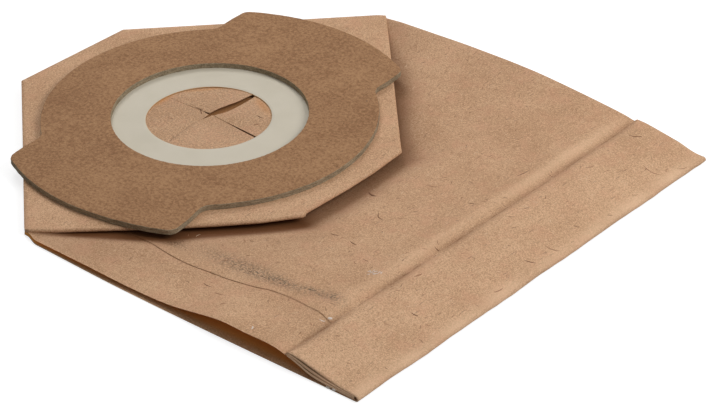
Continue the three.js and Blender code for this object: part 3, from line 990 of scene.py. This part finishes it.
def all_marks():
    """The marks that stand out, then the specks of paste, then fibres strewn over the open paper."""
    rng = np.random.default_rng(41)
    marks = MARKS + FLAP_MARKS
    for _ in range(SPECK_COUNT):
        x, y = rng.normal(SPECKS_X, 1.6), rng.normal(SPECKS_Y, 1.4)
        marks.append((x, y, rng.uniform(0.6, 1.8), rng.uniform(30, 90), 0.1, rng.uniform(0.3, 0.5), 3))
    while len(marks) < FIBRE_COUNT:
        x, y = rng.uniform(4, TUBE_LENGTH - 4), rng.uniform(-113, 113)
        if x < HALF_DEPTH + 3 and x + abs(y) < TIP_Y + 3:
            continue
        kind = int(rng.choice([0, 1, 1, 2]))
        length, turn = rng.uniform(0.8, 3.2), rng.uniform(0, 180)
        bend, width = rng.uniform(-0.5, 0.5), rng.uniform(0.12, 0.26)
        marks.append((x, y, length, turn, bend, width, kind))
    return marks


def slivers():
    """Every mark as a thin bent sliver that lies on the paper."""
    t = np.linspace(-1.0, 1.0, 9)
    points, faces, slots = [], [], []
    for x, y, length, turn, bend, width, kind in all_marks():
        c, s = math.cos(math.radians(turn)), math.sin(math.radians(turn))
        along, aside = 0.5 * length * t, bend * t * t
        taper = 0.5 * width * np.sqrt(1.02 - t * t)
        for edge in (-taper, taper):
            px, py = x + along * c - (aside + edge) * s, y + along * s + (aside + edge) * c
            points.append(np.stack([px, py + BAG_SHIFT, on_paper(px, py) + 0.05], -1))
        faces.append(grid_faces(2, len(t), 2 * len(t) * len(faces)))
        slots += [kind] * (len(t) - 1)
    materials = [FIBRE_DARK, FIBRE_BROWN, FIBRE_PALE, PASTE]
    piece = add_mesh("bag_fibres", np.concatenate(points), np.concatenate(faces), materials, slots=slots)
    thicken(piece, 0.04, 1.0)


# The collar

NEAR_CORNER = (50.0, -79.0)  # the middle of the near tab's right corner, which is bent out
CORNER_OUT = (3.0, -1.5)
BOARD_HOLE_SHIFT = (0.25, -0.3)
RING_OVAL = 1.5  # how much narrower its hole is one way
RING_SHIFT = (-0.5, -0.4)


def tilted(x, y, z):
    """From the panel's own plane to the frame."""
    c, s = math.cos(PANEL_TILT), math.sin(PANEL_TILT)
    return np.stack([x, y * c - z * s, PANEL_HEIGHT + y * s + z * c], -1)


def board_reach(angles):
    """The board's outline as a distance from its centre: a disc with a wide tab to each tip."""
    dense = []
    root_x = TAB_HALF_WIDTH + TAB_FILLET
    root_y = math.sqrt((BOARD_RADIUS + TAB_FILLET) ** 2 - root_x**2)
    root = math.atan2(root_y, root_x)
    corner_x = TAB_HALF_WIDTH - TAB_CORNER
    corner_y = math.sqrt((TAB_RADIUS - TAB_CORNER) ** 2 - corner_x**2)
    corner = math.atan2(corner_y, corner_x)

    def arc(cx, cy, radius, start, end, count):
        for t in np.linspace(start, end, count):
            dense.append((cx + radius * math.cos(t), cy + radius * math.sin(t)))

    arc(root_x, root_y, TAB_FILLET, root - math.pi, -math.pi, 12)
    arc(corner_x, corner_y, TAB_CORNER, 0.0, corner, 12)
    arc(0, 0, TAB_RADIUS, corner, math.pi / 2, 60)
    dense = np.array(dense)
    turn = np.arctan2(dense[:, 1], dense[:, 0])
    far = np.hypot(dense[:, 0], dense[:, 1])
    fold = np.abs((angles - BOARD_TURN + math.pi) % (2 * math.pi) - math.pi)
    fold = np.minimum(fold, math.pi - fold)
    return np.where(fold < turn[0], BOARD_RADIUS, np.interp(fold, turn, far))


def loops(name, rings, materials, slots, sharp):
    """A ring-shaped solid from closed loops of points; the last loop joins the first."""
    points = np.stack(rings)
    columns, rows = points.shape[:2]
    faces = grid_faces(columns + 1, rows, wrap=True) % (columns * rows)
    slots = np.repeat(slots, rows)
    return add_mesh(name, points.reshape(-1, 3), faces, materials, slots=slots, sharp=sharp)


def board():
    """The collar board: the lined face, then its rough cut edges outside and in the hole."""
    tab = math.atan2(math.sqrt(TAB_RADIUS**2 - TAB_HALF_WIDTH**2), TAB_HALF_WIDTH)
    corner = np.linspace(tab - 0.2, tab + 0.12, 50)
    turns = [corner, math.pi - corner, math.pi + corner, 2 * math.pi - corner]
    turns = [t + BOARD_TURN for t in turns]
    angles = np.unique(np.round(np.concatenate([np.linspace(0, 2 * math.pi, 481)[:-1], *turns]), 5))
    way = np.stack([np.cos(angles), np.sin(angles)])
    outer = board_reach(angles)
    rng = np.random.default_rng(21)
    rough = ripple(angles * 80, 0 * angles, 22, 3.1, 0.05) + rng.normal(0, 0.02, len(angles))
    top, base = SEAT_GAP + BOARD_THICKNESS, -0.1

    def loop(radius, z, jitter=0.0):
        r = radius + jitter * rough
        sag = 0.06 * np.sin(2 * angles + 0.6) * (r / TAB_RADIUS) ** 2
        x, y = r * way[0], r * way[1]
        wide = bump(x, NEAR_CORNER[0], 30) * bump(y, NEAR_CORNER[1], 16)
        inner = 1 - smooth((r - BOARD_HOLE) / 12.0)
        x = x + CORNER_OUT[0] * wide + BOARD_HOLE_SHIFT[0] * inner
        y = y + CORNER_OUT[1] * wide + BOARD_HOLE_SHIFT[1] * inner
        return tilted(x, y, z + sag)

    rings, slots = [], []

    def add(radius, z, slot, jitter=0.0):
        rings.append(loop(radius, z, jitter))
        slots.append(slot)

    for t in np.linspace(0.0, 1.0, 14)[1:-1]:
        add(mix(BOARD_HOLE, outer, t), top, 0)
    add(outer - 0.35, top, 0)
    add(outer - 0.1, top - 0.06, 1, 1.0)
    for t in np.linspace(0.12, 0.92, 6):
        add(outer + 0.06 * math.sin(9 * t), mix(top, base, t), 1, 1.4)
    add(outer - 0.15, base, 1)
    add(BOARD_HOLE, base, 1)
    for t in np.linspace(0.12, 0.88, 5):
        add(BOARD_HOLE - 0.05 * math.sin(8 * t), mix(base, top, t), 1, -1.2)
    add(BOARD_HOLE + 0.1, top - 0.05, 0, -1.0)
    add(BOARD_HOLE + 0.35, top, 0)
    piece = loops("collar_board_dressed", rings, [LINER, CUT], slots, sharp=30)
    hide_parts("collar_board")


def ring():
    """The sealing ring, sagged a little, with a warm line round the edge of its hole."""
    angles = np.linspace(0, 2 * math.pi, 241)[:-1]
    way = np.stack([np.cos(angles), np.sin(angles)])
    outer = BOARD_HOLE + RING_LAP
    base = 0.05 - RING_SINK
    top = base + RING_THICKNESS
    oval = 0.5 + 0.5 * np.cos(2 * (angles - RING_PULL))

    def loop(radius, z):
        inside = smooth((BOARD_HOLE - radius) / (BOARD_HOLE - RING_HOLE))
        r = radius - (0.3 + RING_OVAL * oval) * inside
        wave = 0.08 * np.sin(3 * angles + 1.0) * inside - 0.12 * math.sin(math.pi * inside)
        x, y = r * way[0] + RING_SHIFT[0] * inside, r * way[1] + RING_SHIFT[1] * inside
        return tilted(x, y, z + wave)

    face = [loop(r, top) for r in np.linspace(outer - 0.1, RING_HOLE + 0.15, 16)]
    edge = [loop(RING_HOLE, mix(top, base, share)) for share in (0.3, 0.7)]
    back = [loop(r, base) for r in np.linspace(RING_HOLE + 0.1, outer, 6)]
    slots = [0] * (len(face) - 1) + [1] * (len(edge) + 1) + [0] * len(back)
    piece = loops("seal_ring_dressed", face + edge + back, [SEAL, SEAL_EDGE], slots, sharp=None)
    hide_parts("seal_ring")


def paper_bag():
    """Every piece of the bag, which together take the place of its solid."""
    before = set(bpy.context.scene.objects)
    tube()
    panel()
    under_ply()
    left_back()
    end_strip()
    end_plies()
    slivers()
    paste_drops()
    for piece in sorted(set(bpy.context.scene.objects) - before, key=lambda o: o.name):
        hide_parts("paper_bag")


# Camera, light and floor

CAMERA_AZIMUTH = 40.05
CAMERA_ELEVATION = 31.8
CAMERA_DISTANCE = 1.2936  # in metres, as all that follows but the lens and the sensor
CAMERA_TARGET = (0.0943, -0.0077, 0.0)
CAMERA_LENS = 150.0
SENSOR_WIDTH = 36.0

# Each lamp: its name, its azimuth and elevation, its size in metres and its power in watts
LAMPS = [
    ("back", 238.0, 38.0, 0.5, 6.8),
    ("side", 110.0, 40.0, 0.7, 10.3),
    ("top", 200.0, 80.0, 1.1, 3.0),
]
LAMP_DISTANCE = 1.4
LAMP_TARGET = (0.05, 0.0, 0.0)
WORLD_LIGHT = 0.2
FLOOR_SIZE = 8.0
FLOOR_DROP = 0.0001
FLOOR_GREY = 0.45
FLOOR_GLOW = 0.75  # what the camera alone sees the floor shine with, to make it white


def direction(azimuth, elevation):
    """From the target toward the camera or a lamp; azimuth 0 is the side of -Y, and 90 that of +X."""
    a, e = math.radians(azimuth), math.radians(elevation)
    return np.array([math.sin(a) * math.cos(e), -math.cos(a) * math.cos(e), math.sin(e)])


def aim(item, azimuth, elevation, distance, target):
    """Places a camera or a lamp and turns it to its target."""
    back = Vector(direction(azimuth, elevation).tolist())
    item.location = Vector(target) + back * distance
    item.rotation_mode = "QUATERNION"
    item.rotation_quaternion = (-back).to_track_quat("-Z", "Y")


def camera():
    data = bpy.data.cameras.new("camera")
    data.lens = CAMERA_LENS
    data.sensor_width = SENSOR_WIDTH
    item = bpy.data.objects.new("camera", data)
    bpy.context.scene.collection.objects.link(item)
    aim(item, CAMERA_AZIMUTH, CAMERA_ELEVATION, CAMERA_DISTANCE, CAMERA_TARGET)
    bpy.context.scene.camera = item


def lamp(name, azimuth, elevation, size, power):
    data = bpy.data.lights.new(name, "AREA")
    data.shape = "SQUARE"
    data.size = size
    data.energy = power
    item = bpy.data.objects.new(name, data)
    bpy.context.scene.collection.objects.link(item)
    aim(item, azimuth, elevation, LAMP_DISTANCE, LAMP_TARGET)


def studio():
    """Three soft lamps in a white world, which lights the bag less than the camera sees of it."""
    for row in LAMPS:
        lamp(*row)
    world = bpy.data.worlds.new("world")
    bpy.context.scene.world = world
    world.use_nodes = True
    nodes, links = world.node_tree.nodes, world.node_tree.links
    path = nodes.new("ShaderNodeLightPath")
    seen = nodes.new("ShaderNodeMath")
    seen.operation = "MAXIMUM"
    links.new(path.outputs["Is Camera Ray"], seen.inputs[0])
    links.new(path.outputs["Is Glossy Ray"], seen.inputs[1])
    level = nodes.new("ShaderNodeMapRange")
    level.inputs["To Min"].default_value = WORLD_LIGHT
    level.inputs["To Max"].default_value = 1.0
    links.new(seen.outputs[0], level.inputs["Value"])
    background = nodes["Background"]
    background.inputs["Color"].default_value = (1.0, 1.0, 1.0, 1.0)
    links.new(level.outputs["Result"], background.inputs["Strength"])


def floor():
    """A pale floor that keeps the bag's shadow."""
    half = FLOOR_SIZE / 2
    corners = [(-half, -half), (half, -half), (half, half), (-half, half)]
    material = bpy.data.materials.new("floor_white")
    material.use_nodes = True
    nodes, links = material.node_tree.nodes, material.node_tree.links
    surface = nodes["Principled BSDF"]
    surface.inputs["Base Color"].default_value = (FLOOR_GREY, FLOOR_GREY, FLOOR_GREY, 1.0)
    surface.inputs["Roughness"].default_value = 0.9
    surface.inputs["Specular IOR Level"].default_value = 0.0
    path = nodes.new("ShaderNodeLightPath")
    glow = nodes.new("ShaderNodeMath")
    glow.operation = "MULTIPLY"
    links.new(path.outputs["Is Camera Ray"], glow.inputs[0])
    glow.inputs[1].default_value = FLOOR_GLOW
    surface.inputs["Emission Color"].default_value = (1.0, 1.0, 1.0, 1.0)
    links.new(glow.outputs[0], surface.inputs["Emission Strength"])
    mesh = bpy.data.meshes.new("floor")
    mesh.from_pydata([(x, y, -FLOOR_DROP) for x, y in corners], [], [(0, 1, 2, 3)])
    mesh.materials.append(material)
    item = bpy.data.objects.new("floor", mesh)
    bpy.context.scene.collection.objects.link(item)


camera()
paper_bag()
board()
ring()
floor()
studio()
bpy.context.scene.view_settings.view_transform = "Standard"
